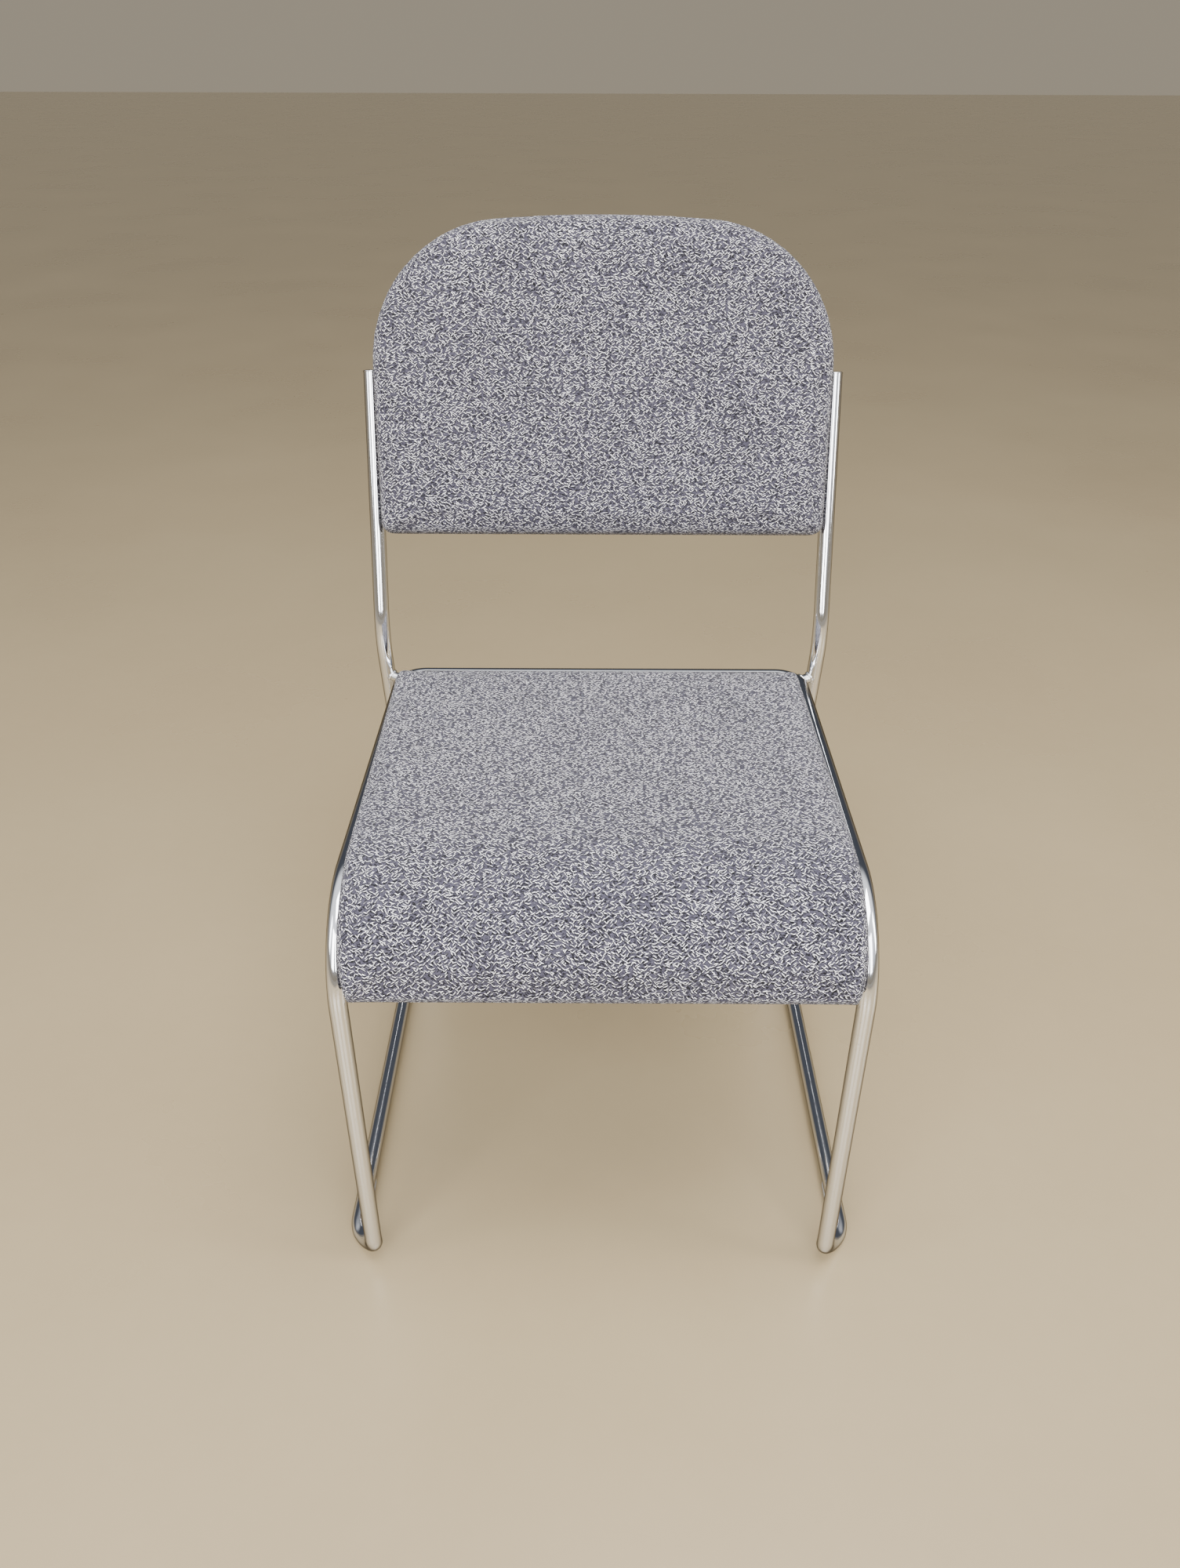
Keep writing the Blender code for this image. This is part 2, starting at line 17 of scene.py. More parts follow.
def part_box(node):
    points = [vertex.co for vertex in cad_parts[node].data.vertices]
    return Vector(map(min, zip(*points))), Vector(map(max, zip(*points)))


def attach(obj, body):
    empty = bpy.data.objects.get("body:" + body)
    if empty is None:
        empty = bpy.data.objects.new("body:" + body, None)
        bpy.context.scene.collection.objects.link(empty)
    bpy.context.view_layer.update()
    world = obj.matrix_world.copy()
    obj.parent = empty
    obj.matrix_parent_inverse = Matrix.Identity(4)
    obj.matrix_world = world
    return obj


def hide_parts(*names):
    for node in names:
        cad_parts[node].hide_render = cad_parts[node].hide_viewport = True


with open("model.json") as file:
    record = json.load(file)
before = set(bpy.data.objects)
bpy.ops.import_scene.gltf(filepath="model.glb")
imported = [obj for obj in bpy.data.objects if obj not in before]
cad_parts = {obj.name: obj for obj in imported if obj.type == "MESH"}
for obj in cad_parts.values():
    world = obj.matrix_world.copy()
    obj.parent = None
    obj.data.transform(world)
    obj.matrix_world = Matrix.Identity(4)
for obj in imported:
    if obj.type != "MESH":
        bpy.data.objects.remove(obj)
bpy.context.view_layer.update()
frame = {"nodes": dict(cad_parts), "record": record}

SIDES = {"left": -1, "right": 1}
ENDS = ("front", "rear")
LEVELS = ("lower", "upper")
GAP = 0.0003  # air between neighbouring pieces

# Frame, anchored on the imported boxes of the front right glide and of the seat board
TUBE_R = 0.008
TUBE_WALL = 0.0015
GLIDE_SETBACK = 0.078  # from the front leg's axis back to the middle of the front glide
glide_low, glide_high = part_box("glide_front_right")
RUNNER_X = (glide_low.x + glide_high.x) / 2
LEG_Y = (glide_low.y + glide_high.y) / 2 - GLIDE_SETBACK
RAIL_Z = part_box("seat_board")[1].z - TUBE_R
RUNNER_Z = 0.0105
UPRIGHT_X = 0.2346
INNER_X = UPRIGHT_X - 2 * TUBE_R - GAP
CROSS_Y = LEG_Y + 0.4406
KINK_Y = LEG_Y + 0.4258
KINK_Z = 0.4717
RECLINE = math.radians(17.4)
LEG_RAKE = math.radians(15.6)
UPRIGHT_LENGTH = 0.2688
KINK_R = 0.100
REAR_FOOT_R = 0.050
FOOT_R = 0.027
TOE_RUN = 0.014  # length of level runner that already swings in
TOE_SHARE = 0.85  # of the toe, after which it is in the front leg's plane
SEAT_BEND_R = 0.086
CORNER_R = 0.027
BRACE_Y = LEG_Y + 0.185
BRACE_Z = RAIL_Z - 0.0120
BRACE_R = 0.007
BRACE_SEAM_R = 0.0072
BRACE_BEAD_R = 0.0014
LUG_R = 0.0055
LUG_SUNK = 0.6  # how far from a tube's axis a lug ends, as a share of the tube's radius
BEAD_R = 0.0017
CAP_R = 0.0086
ARC_STEP = math.radians(4)
TUBE_SIDES = 40
TUBE_SHARP = 40  # degrees above which an edge stays sharp
PART_SHARP = 30

# Screws
SCREW_HEAD_R = 0.0046
SCREW_HEAD = 0.0028
SCREW_R = 0.0023
SCREW_LENGTH = 0.0105
SCREW_TIP_STARTS = 0.0082
RECESS_HALF_LONG = 0.0025
RECESS_HALF_WIDE = 0.0005
RECESS_FLOOR = 0.0016
RECESS_TOP = 0.0048

# Seat pad, in a flat space: x across, s back along the seat and w up from the board
BEND_Y = LEG_Y + SEAT_BEND_R
BEND_Z = RAIL_Z - SEAT_BEND_R
SEAT_LOW_R = SEAT_BEND_R + TUBE_R + GAP
SEAT_T = 0.0220
SEAT_MID_R = SEAT_LOW_R + SEAT_T / 2
SEAT_WRAP = math.radians(77)
SEAT_FRONT_S = -SEAT_WRAP * SEAT_MID_R
SEAT_REAR_S = 0.4050 - SEAT_BEND_R
SEAT_HALF = 0.2150
SEAT_FRONT_HALF = 0.2088
SEAT_TAPER = 0.050
SEAT_DRIFT = 0.0100  # the pad runs off to -X by this much per metre of depth

# Back, up the upright from the kink and forward from the upright's axis
BACK_BOTTOM = 0.1090
BACK_TOP = 0.4120
BACK_HALF = 0.2295
BACK_FOOT_HALF = 0.2265
BACK_CORNER_R = 0.135
BACK_FOOT_R = 0.013
BACK_CROWN_R = 1.45
BACK_REAR = 0.0083
BACK_FRONT = 0.0421

# How the pads are swollen
CLOTH_FRAMES = 20
PRESSURE = 4.0
SIDE_SHARE = 0.35  # how much of the sideways swelling is kept
ROOM_SHARE = 0.6  # how much of the swelling the slab leaves room for
PAD_INSET = 0.0004
PAD_VOXEL = 0.0050
PAD_LIFT = 0.0002

# Slubs of the tweed: cell sizes in millimetres, and least and greatest lean in degrees
SLUB_PITCH = (3.3, 2.35)
SLUB_LEAN = (14, 56)


# Materials


def feed(tree, socket, value):
    if isinstance(value, bpy.types.NodeSocket):
        tree.links.new(value, socket)
    else:
        socket.default_value = value


def node(tree, kind, inputs=None, **settings):
    """A node of this kind with its settings, and its inputs, by name or index, fed or set."""
    made = tree.nodes.new("ShaderNode" + kind)
    for key, value in settings.items():
        setattr(made, key, value)
    for key, value in (inputs or {}).items():
        feed(tree, made.inputs[key], value)
    return made


def maths(tree, operation, a, b):
    return node(tree, "Math", {0: a, 1: b}, operation=operation).outputs[0]


def vector_maths(tree, operation, a, b):
    return node(tree, "VectorMath", {0: a, 1: b}, operation=operation).outputs["Vector"]


def scaled(tree, vector, factor):
    inputs = {0: vector, "Scale": factor}
    return node(tree, "VectorMath", inputs, operation="SCALE").outputs["Vector"]


def spread(tree, value, low, high, to_low=0.0, to_high=1.0, smooth=False):
    """Maps low to high on to to_low to to_high, holding the ends."""
    kind = "SMOOTHSTEP" if smooth else "LINEAR"
    ends = {"Value": value, 1: low, 2: high, 3: to_low, 4: to_high}
    return node(tree, "MapRange", ends, interpolation_type=kind).outputs["Result"]


def blend_colours(tree, share, a, b):
    """Colour a where share is 0 and colour b where it is 1."""
    made = node(tree, "Mix", data_type="RGBA")
    feed(tree, made.inputs["Factor"], share)
    feed(tree, made.inputs[6], a)
    feed(tree, made.inputs[7], b)
    return made.outputs[2]


def noise(tree, vector, scale, detail=2.0, roughness=0.5):
    inputs = {"Vector": vector, "Scale": scale, "Detail": detail, "Roughness": roughness}
    return node(tree, "TexNoise", inputs).outputs[0]


def new_material(name):
    material = bpy.data.materials.new(name)
    material.use_nodes = True
    tree = material.node_tree
    return material, tree, tree.nodes["Principled BSDF"]


def in_metres(tree):
    return node(tree, "TexCoord").outputs["Object"]


def bump(tree, shader, height, strength, distance):
    inputs = {"Height": height, "Strength": strength, "Distance": distance}
    made = node(tree, "Bump", inputs)
    feed(tree, shader.inputs["Normal"], made.outputs["Normal"])


def stretched(tree, vector, scale):
    return node(tree, "Mapping", {"Vector": vector, "Scale": scale}).outputs[0]


def metal_material(name, colour, roughness, haze, speck):
    """A plated metal: smears in its gloss, fine rub marks and a few dull specks."""
    material, tree, shader = new_material(name)
    place = in_metres(tree)
    rub_haze, dullness = 0.35, 0.62
    smear = noise(tree, place, 26, detail=4, roughness=0.6)
    rub = noise(tree, stretched(tree, place, (900, 900, 60)), 1.0, detail=3)
    specks = spread(tree, noise(tree, place, 420, detail=2), 0.70, 0.78)
    gloss = maths(tree, "ADD", roughness, maths(tree, "MULTIPLY", smear, haze))
    gloss = maths(tree, "ADD", gloss, maths(tree, "MULTIPLY", rub, haze * rub_haze))
    gloss = maths(tree, "ADD", gloss, maths(tree, "MULTIPLY", specks, speck))
    feed(tree, shader.inputs["Roughness"], gloss)
    dull = tuple(c * dullness for c in colour)
    tint = blend_colours(tree, specks, (*colour, 1), (*dull, 1))
    feed(tree, shader.inputs["Base Color"], tint)
    shader.inputs["Metallic"].default_value = 1.0
    shader.inputs["Specular Tint"].default_value = (0.16, 0.15, 0.14, 1)
    wave = noise(tree, place, 34, detail=2)
    ripple = maths(tree, "ADD", wave, maths(tree, "MULTIPLY", rub, 0.05))
    bump(tree, shader, ripple, strength=0.10, distance=0.0006)
    return material


def slub_layer(tree, cloth, offset, half, keep, lean=SLUB_LEAN):
    """A slub of these half sizes in each cell, shown in a share keep of them; in millimetres."""
    place = vector_maths(tree, "ADD", cloth, (*offset, 0))
    shrunk = vector_maths(tree, "MULTIPLY", place, (1 / SLUB_PITCH[0], 1 / SLUB_PITCH[1], 0))
    cell_inputs = {"Vector": shrunk, "Scale": 1.0, "Randomness": 0.88}
    cells = node(tree, "TexVoronoi", cell_inputs, voronoi_dimensions="2D")
    centre = vector_maths(tree, "MULTIPLY", cells.outputs["Position"], (*SLUB_PITCH, 0))
    away = vector_maths(tree, "SUBTRACT", place, centre)
    chances = node(tree, "SeparateColor", {"Color": cells.outputs["Color"]}).outputs
    way = spread(tree, chances[0], 0.499, 0.501, to_low=-1, to_high=1)
    least, most = (math.radians(angle) for angle in lean)
    tilt = spread(tree, chances[1], 0, 1, to_low=least, to_high=most)
    turn = {"Vector": away, "Angle": maths(tree, "MULTIPLY", way, tilt)}
    turned = node(tree, "VectorRotate", turn, rotation_type="Z_AXIS").outputs[0]
    in_halves = vector_maths(tree, "MULTIPLY", turned, (1 / half[0], 1 / half[1], 0))
    reach = node(tree, "VectorMath", {0: in_halves}, operation="LENGTH").outputs["Value"]
    slub = spread(tree, reach, 1.0, 0.5, smooth=True)
    shown_above, full_above = 1 - keep, 1 - keep * 0.6
    weight = spread(tree, chances[2], shown_above, full_above)
    return maths(tree, "MULTIPLY", slub, weight)


def strongest(tree, layers):
    """At each place, the greatest of these values."""
    total = layers[0]
    for layer in layers[1:]:
        total = maths(tree, "MAXIMUM", total, layer)
    return total


def tweed_material():
    """Salt-and-pepper boucle: light and near-black slubs thrown both ways over a grey ground, with a
    painted shadow, a near-black fringe, beside each slub of the first light layer.
    """
    material, tree, shader = new_material("tweed")
    ground_low, ground_high = (0.010, 0.009, 0.015, 1), (0.088, 0.083, 0.117, 1)
    # The near-black colour serves both the pepper slubs and the painted shadow beside the light
    # slubs.
    pepper_and_shadow, salt = (0.003, 0.003, 0.004, 1), (0.955, 0.94, 0.99, 1)
    crossed = (0, 60)
    weave = node(tree, "Attribute", attribute_name="weave").outputs["Vector"]
    cloth = vector_maths(tree, "MULTIPLY", weave, (1000, 1000, 1000))
    drift = node(tree, "TexNoise", {"Vector": cloth, "Scale": 0.30, "Detail": 1.0})
    centred = vector_maths(tree, "ADD", drift.outputs["Color"], (-0.5, -0.5, -0.5))
    cloth = vector_maths(tree, "ADD", cloth, scaled(tree, centred, 1.9))
    light = strongest(
        tree,
        [
            slub_layer(tree, cloth, (0, 0), (2.3, 0.36), 0.90),
            slub_layer(tree, cloth, (31.7, 17.2), (2.0, 0.33), 0.10),
        ],
    )
    # dark holds the pepper slubs and, in its first layer, the painted shadow of the light slubs.
    dark = strongest(
        tree,
        [
            # Painted shadow: the first light layer's slubs, shifted 0.75 mm across and a little
            # wider, so a dark fringe shows beside each light slub.
            slub_layer(tree, cloth, (0, 0.75), (2.3, 0.56), 0.95),
            slub_layer(tree, cloth, (71.3, 29.9), (1.7, 0.66), 0.85, crossed),
            slub_layer(tree, cloth, (19.4, 83.1), (1.8, 0.60), 0.8, crossed),
        ],
    )
    fuzz = noise(tree, cloth, 1.5, detail=3, roughness=0.7)
    broad = noise(tree, cloth, 0.018, detail=2)
    ground = blend_colours(tree, spread(tree, fuzz, 0.34, 0.66), ground_low, ground_high)
    # Near-black where the pepper slubs and the painted slub shadows lie.
    colour = blend_colours(tree, dark, ground, pepper_and_shadow)
    colour = blend_colours(tree, light, colour, salt)
    shade = spread(tree, broad, 0.35, 0.65, to_low=0.94, to_high=1.05)
    feed(tree, shader.inputs["Base Color"], scaled(tree, colour, shade))
    shader.inputs["Roughness"].default_value = 0.92
    shader.inputs["Sheen Weight"].default_value = 0.08
    shader.inputs["Sheen Roughness"].default_value = 0.5
    shader.inputs["Specular IOR Level"].default_value = 0.2
    height = maths(tree, "SUBTRACT", light, maths(tree, "MULTIPLY", dark, 0.8))
    height = maths(tree, "ADD", height, maths(tree, "MULTIPLY", fuzz, 0.7))
    bump(tree, shader, height, strength=0.75, distance=0.0005)
    return material


def plywood_material():
    """Long grain, with short dark pores drawn out the same way."""
    material, tree, shader = new_material("plywood")
    place = in_metres(tree)
    pale, brown, pore = (0.62, 0.42, 0.24, 1), (0.34, 0.20, 0.10, 1), (0.22, 0.13, 0.07, 1)
    grain = noise(tree, stretched(tree, place, (9, 90, 90)), 1.0, detail=6, roughness=0.62)
    fleck = noise(tree, stretched(tree, place, (60, 900, 900)), 1.0, detail=3)
    pores = spread(tree, fleck, 0.55, 0.72)
    colour = blend_colours(tree, grain, pale, brown)
    feed(tree, shader.inputs["Base Color"], blend_colours(tree, pores, colour, pore))
    gloss = spread(tree, grain, 0.3, 0.7, to_low=0.5, to_high=0.68)
    feed(tree, shader.inputs["Roughness"], gloss)
    bump(tree, shader, grain, strength=0.25, distance=0.0004)
    return material


def lining_material():
    """A pressed black non-woven cloth with its grid of bonded dots."""
    material, tree, shader = new_material("lining")
    place = in_metres(tree)
    dots = node(tree, "TexVoronoi", {"Vector": place, "Scale": 620, "Randomness": 0.15})
    dot = spread(tree, dots.outputs["Distance"], 0.36, 0.22)
    fibre = noise(tree, place, 900, detail=4, roughness=0.7)
    colour = blend_colours(tree, fibre, (0.010, 0.010, 0.011, 1), (0.035, 0.035, 0.037, 1))
    feed(tree, shader.inputs["Base Color"], colour)
    shader.inputs["Roughness"].default_value = 0.9
    relief = maths(tree, "SUBTRACT", fibre, dot)
    bump(tree, shader, relief, strength=0.5, distance=0.0003)
    return material


def moulded_material(name, dark, light, roughness, scale):
    """A moulded plastic with a fine spark-eroded grain and faint scuffs."""
    material, tree, shader = new_material(name)
    place = in_metres(tree)
    grain = noise(tree, place, scale, detail=3, roughness=0.6)
    streak = noise(tree, stretched(tree, place, (30, 30, 220)), 1.0, detail=5)
    scuff = spread(tree, streak, 0.60, 0.74)
    colour = blend_colours(tree, grain, (*dark, 1), (*light, 1))
    lifted = tuple(min(1, c * 1.8 + 0.02) for c in light)
    colour = blend_colours(tree, maths(tree, "MULTIPLY", scuff, 0.35), colour, (*lifted, 1))
    feed(tree, shader.inputs["Base Color"], colour)
    gloss = spread(tree, scuff, 0, 1, to_low=roughness, to_high=roughness + 0.18)
    feed(tree, shader.inputs["Roughness"], gloss)
    bump(tree, shader, grain, strength=0.35, distance=0.0003)
    return material


def floor_material():
    """Pale polished concrete: soft clouds of tone with a fine grain."""
    material, tree, shader = new_material("pale_floor")
    place = in_metres(tree)
    low, high = (0.262, 0.203, 0.116, 1), (0.334, 0.264, 0.158, 1)
    cloud = noise(tree, place, 1.6, detail=6, roughness=0.55)
    fine = noise(tree, place, 46, detail=5, roughness=0.6)
    cloud_part = maths(tree, "MULTIPLY", cloud, 0.8)
    tone = maths(tree, "ADD", cloud_part, maths(tree, "MULTIPLY", fine, 0.2))
    feed(tree, shader.inputs["Base Color"], blend_colours(tree, tone, low, high))
    gloss = spread(tree, cloud, 0.3, 0.7, to_low=0.26, to_high=0.31)
    feed(tree, shader.inputs["Roughness"], gloss)
    bump(tree, shader, fine, strength=0.04, distance=0.0006)
    return material


chrome = metal_material("chrome", (0.80, 0.81, 0.84), roughness=0.03, haze=0.07, speck=0.22)
weld_chrome = metal_material(
    "weld_chrome", (0.74, 0.74, 0.75), roughness=0.16, haze=0.16, speck=0.25
)
zinc = metal_material("zinc", (0.58, 0.59, 0.60), roughness=0.26, haze=0.25, speck=0.2)
tweed = tweed_material()
plywood = plywood_material()
lining = lining_material()
shell = moulded_material(
    "shell", (0.014, 0.014, 0.015), (0.030, 0.030, 0.032), roughness=0.42, scale=700
)
nylon = moulded_material(
    "nylon", (0.30, 0.30, 0.30), (0.42, 0.42, 0.42), roughness=0.38, scale=500
)
SLOT_MATERIALS = {
    "chrome": chrome,
    "zinc": zinc,
    "fabric": tweed,
    "foam": tweed,
    "plywood": plywood,
    "lining": lining,
    "shell": shell,
    "nylon": nylon,
}


# Mesh helpers


def mesh_of(name, points, faces):
    mesh = bpy.data.meshes.new(name)
    corners = [tuple(map(float, point)) for point in points]
    mesh.from_pydata(corners, [], [tuple(map(int, face)) for face in faces])
    mesh.update()
    return mesh


def add_piece(name, mesh, material, replaces=(), sharp_above=None):
    """A smooth piece on the frame; edges turning by more than sharp_above degrees stay sharp."""
    obj = bpy.data.objects.new(name, mesh)
    bpy.context.scene.collection.objects.link(obj)
    mesh.materials.clear()
    mesh.materials.append(material)
    mesh.shade_smooth()
    if sharp_above is not None:
        mesh.set_sharp_from_angle(angle=math.radians(sharp_above))
    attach(obj, "root")
    if replaces:
        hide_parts(*replaces)
    return obj


def evaluated_mesh(obj):
    graph = bpy.context.evaluated_depsgraph_get()
    return bpy.data.meshes.new_from_object(obj.evaluated_get(graph))


def with_modifiers(mesh, modifiers):
    """The mesh after these modifiers, each (kind, settings)."""
    holder = bpy.data.objects.new("holder", mesh)
    bpy.context.scene.collection.objects.link(holder)
    for kind, settings in modifiers:
        modifier = holder.modifiers.new(kind.lower(), kind)
        for key, value in settings.items():
            setattr(modifier, key, value)
    made = evaluated_mesh(holder)
    bpy.data.objects.remove(holder)
    return made


def points_of(mesh):
    flat = np.empty(len(mesh.vertices) * 3)
    mesh.vertices.foreach_get("co", flat)
    return flat.reshape(-1, 3)


def set_points(mesh, points):
    mesh.vertices.foreach_set("co", np.ascontiguousarray(points).ravel())
    mesh.update()


def rings_along(points, closed=False):
    """Tangent and two cross directions at each point, turned as little as possible on the way."""
    pts = np.array([tuple(p) for p in points], float)
    if closed:
        ahead, behind = np.roll(pts, -1, 0), np.roll(pts, 1, 0)
    else:
        ahead = np.vstack([pts[1:], 2 * pts[-1] - pts[-2]])
        behind = np.vstack([2 * pts[0] - pts[1], pts[:-1]])
    there = ahead - pts
    here = pts - behind
    there /= np.linalg.norm(there, axis=1)[:, None]
    here /= np.linalg.norm(here, axis=1)[:, None]
    tangents = there + here
    tangents /= np.linalg.norm(tangents, axis=1)[:, None]
    no_tube_starts_along = (0.31, 0.17, 0.93)
    side = np.cross(tangents[0], no_tube_starts_along)
    side /= np.linalg.norm(side)
    sides = []
    for tangent in tangents:
        side = side - (side @ tangent) * tangent
        side /= np.linalg.norm(side)
        sides.append(side)
    sides = np.array(sides)
    return pts, tangents, sides, np.cross(tangents, sides)


def tube_mesh(name, points, radius, sides=TUBE_SIDES, wall=None):
    """A tube along points, with a wall and rims, or solid with flat ends."""
    pts, _, across, up = rings_along(points)
    angles = np.linspace(0, 2 * math.pi, sides, endpoint=False)
    count = len(pts)

    def skin(r):
        rings = (
            pts[:, None]
            + r * np.cos(angles)[None, :, None] * across[:, None]
            + r * np.sin(angles)[None, :, None] * up[:, None]
        )
        return rings.reshape(-1, 3)

    def band(first, second, flip=False):
        quads = []
        for j in range(sides):
            k = (j + 1) % sides
            quad = (first + j, first + k, second + k, second + j)
            quads.append(quad[::-1] if flip else quad)
        return quads

    faces = [q for i in range(count - 1) for q in band(i * sides, (i + 1) * sides)]
    last = (count - 1) * sides
    if wall is None:
        faces.append(tuple(reversed(range(sides))))
        faces.append(tuple(range(last, last + sides)))
        return mesh_of(name, skin(radius), faces)
    base = count * sides
    for i in range(count - 1):
        faces += band(base + i * sides, base + (i + 1) * sides, flip=True)
    faces += band(0, base, flip=True)
    faces += band(last, base + last)
    return mesh_of(name, np.vstack([skin(radius), skin(radius - wall)]), faces)


def bead_mesh(name, points, radius, ripples, sides=12):
    """A weld bead along a closed loop, rippled as its puddles froze."""
    pts, _, across, up = rings_along(points, closed=True)
    angles = np.linspace(0, 2 * math.pi, sides, endpoint=False)
    count = len(pts)
    turn = np.linspace(0, 2 * math.pi, count, endpoint=False)
    ripple = 0.13 * np.sin(ripples * turn)
    waver = 0.10 * np.sin(3 * turn + 1.1)
    swell = radius * (1 + ripple + waver)
    rings = (
        pts[:, None]
        + swell[:, None, None] * np.cos(angles)[None, :, None] * across[:, None]
        + swell[:, None, None] * np.sin(angles)[None, :, None] * up[:, None]
    )
    # The loop's last ring may have turned against the first: join each point to its nearest.
    shift = int(np.argmin(np.linalg.norm(rings[0] - rings[-1][0], axis=1)))
    faces = []
    for i in range(count):
        for j in range(sides):
            a, b = i * sides + j, i * sides + (j + 1) % sides
            n = (i + 1) % count
            step = shift if n == 0 else 0
            c = n * sides + (j + 1 + step) % sides
            d = n * sides + (j + step) % sides
            faces.append((a, b, c, d))
    return mesh_of(name, rings.reshape(-1, 3), faces)


def arc(centre, radius, start, end, step=ARC_STEP):
    """Pairs round part of a circle, at most one step apart, with both ends."""
    count = max(2, math.ceil(abs(end - start) / step))
    angles = [start + (end - start) * i / count for i in range(count + 1)]
    return [(centre[0] + radius * math.cos(a), centre[1] + radius * math.sin(a)) for a in angles]


def rounded_path(corners):
    """The points along straight runs through (corner, radius) pairs, bent round each inner one."""
    points = [corners[0][0]]
    for before, (corner, radius), after in zip(corners, corners[1:], corners[2:]):
        back = (before[0] - corner).normalized()
        ahead = (after[0] - corner).normalized()
        turn_angle = math.pi - back.angle(ahead)
        inset = radius * math.tan(turn_angle / 2)
        centre = corner + (back + ahead).normalized() * math.hypot(radius, inset)
        spoke = corner + back * inset - centre
        axis = back.cross(ahead).normalized()
        count = max(2, math.ceil(turn_angle / ARC_STEP))
        for i in range(count + 1):
            turned = Matrix.Rotation(-turn_angle * i / count, 3, axis) @ spoke
            points.append(centre + turned)
    points.append(corners[-1][0])
    return points


# Tubes and what is welded to them


def rear_leg(height):
    """The point at this height on the right rear leg's axis."""
    y = KINK_Y + (KINK_Z - height) * math.tan(LEG_RAKE)
    splay = (KINK_Z - height) / (KINK_Z - RUNNER_Z)
    return Vector((UPRIGHT_X + (RUNNER_X - UPRIGHT_X) * splay, y, height))


def upright(height):
    """The point this far up the right upright's axis from the kink."""
    return Vector(
        (UPRIGHT_X, KINK_Y + height * math.sin(RECLINE), KINK_Z + height * math.cos(RECLINE))
    )


def toe_bend():
    """From the end of the runner round the toe to the front leg, swinging inward on the way."""
    steps = 6
    centre = (LEG_Y + FOOT_R, RUNNER_Z + FOOT_R)
    run = [(centre[0] + TOE_RUN * (1 - i / steps), RUNNER_Z) for i in range(steps)]
    bend = run + arc(centre, FOOT_R, 1.5 * math.pi, math.pi)
    points = []
    for i, (y, z) in enumerate(bend):
        part = min(1, i / (TOE_SHARE * (len(bend) - 1)))
        ease = part * part * (3 - 2 * part)
        points.append(Vector((RUNNER_X + (INNER_X - RUNNER_X) * ease, y, z)))
    return points


def side_path():
    """The right tube's axis, from its open top round the runner to the middle of the cross tube."""
    toe = toe_bend()
    outer = rounded_path(
        [
            (upright(UPRIGHT_LENGTH), 0),
            (upright(0), KINK_R),
            (rear_leg(RUNNER_Z), REAR_FOOT_R),
            (toe[0], 0),
        ]
    )
    inner = rounded_path(
        [
            (toe[-1], 0),
            (Vector((INNER_X, LEG_Y, RAIL_Z)), SEAT_BEND_R),
            (Vector((INNER_X, CROSS_Y, RAIL_Z)), CORNER_R),
            (Vector((0.0, CROSS_Y, RAIL_Z)), 0),
        ]
    )
    return outer[:-1] + toe + inner[1:]


def mirrored(points, side):
    return [Vector((side * p.x, p.y, p.z)) for p in points]


def bead_round(stub_axis, stub_start, stub_r, tube_point, tube_axis, tube_r, count=48):
    """The loop where a round stub meets a tube, both given by a point and a direction."""
    d, a = stub_axis.normalized(), tube_axis.normalized()
    first = d.orthogonal().normalized()
    second = d.cross(first)
    loop = []
    for i in range(count):
        angle = 2 * math.pi * i / count
        spoke = math.cos(angle) * first + math.sin(angle) * second
        q = stub_start - tube_point + stub_r * spoke
        q_flat, d_flat = q - q.dot(a) * a, d - d.dot(a) * a
        aa, bb = d_flat.dot(d_flat), q_flat.dot(d_flat)
        cc = q_flat.dot(q_flat) - tube_r**2
        root = math.sqrt(max(0.0, bb * bb - aa * cc))
        t = min(((-bb - root) / aa, (-bb + root) / aa), key=abs)
        loop.append(tube_point + q + t * d)
    return loop


def make_frame():
    """The two long bent tubes."""
    path = side_path()
    for side_name, side in SIDES.items():
        run = mirrored(path, side)
        mesh = tube_mesh(f"tube_{side_name}", run, TUBE_R, wall=TUBE_WALL)
        name = f"frame_tube_{side_name}"
        add_piece(name, mesh, chrome, [f"side_frame_{side_name}"], TUBE_SHARP)


def make_lugs():
    """The short lug from each rear corner of the seat rails to the rear leg, and its two welds."""
    step = 0.01
    for side_name, side in SIDES.items():
        centre = Vector((side * (INNER_X - CORNER_R), CROSS_Y - CORNER_R, RAIL_Z))
        leg = rear_leg(RAIL_Z)
        leg.x *= side
        out = (leg - centre).normalized()
        corner = centre + out * CORNER_R
        start = corner + out * TUBE_R * LUG_SUNK
        end = leg - out * TUBE_R * LUG_SUNK
        stub = tube_mesh(f"lug_{side_name}", [start, (start + end) / 2, end], LUG_R, sides=28)
        replaced = [f"corner_lug_{side_name}"]
        add_piece(
            f"corner_stub_{side_name}", stub, weld_chrome, replaced, TUBE_SHARP
        )
        leg_axis = rear_leg(RAIL_Z + step) - rear_leg(RAIL_Z - step)
        leg_axis.x *= side
        at_leg = bead_round(-out, leg - out * TUBE_R, LUG_R, leg, leg_axis, TUBE_R)
        along = Vector((-out.y, out.x, 0))
        at_corner = bead_round(out, corner + out * TUBE_R, LUG_R, corner, along, TUBE_R)
        for place, loop, ripples in (("leg", at_leg, 11), ("rail", at_corner, 9)):
            bead = bead_mesh(f"bead_{place}", loop, BEAD_R, ripples)
            add_piece(f"weld_{place}_{side_name}", bead, weld_chrome)


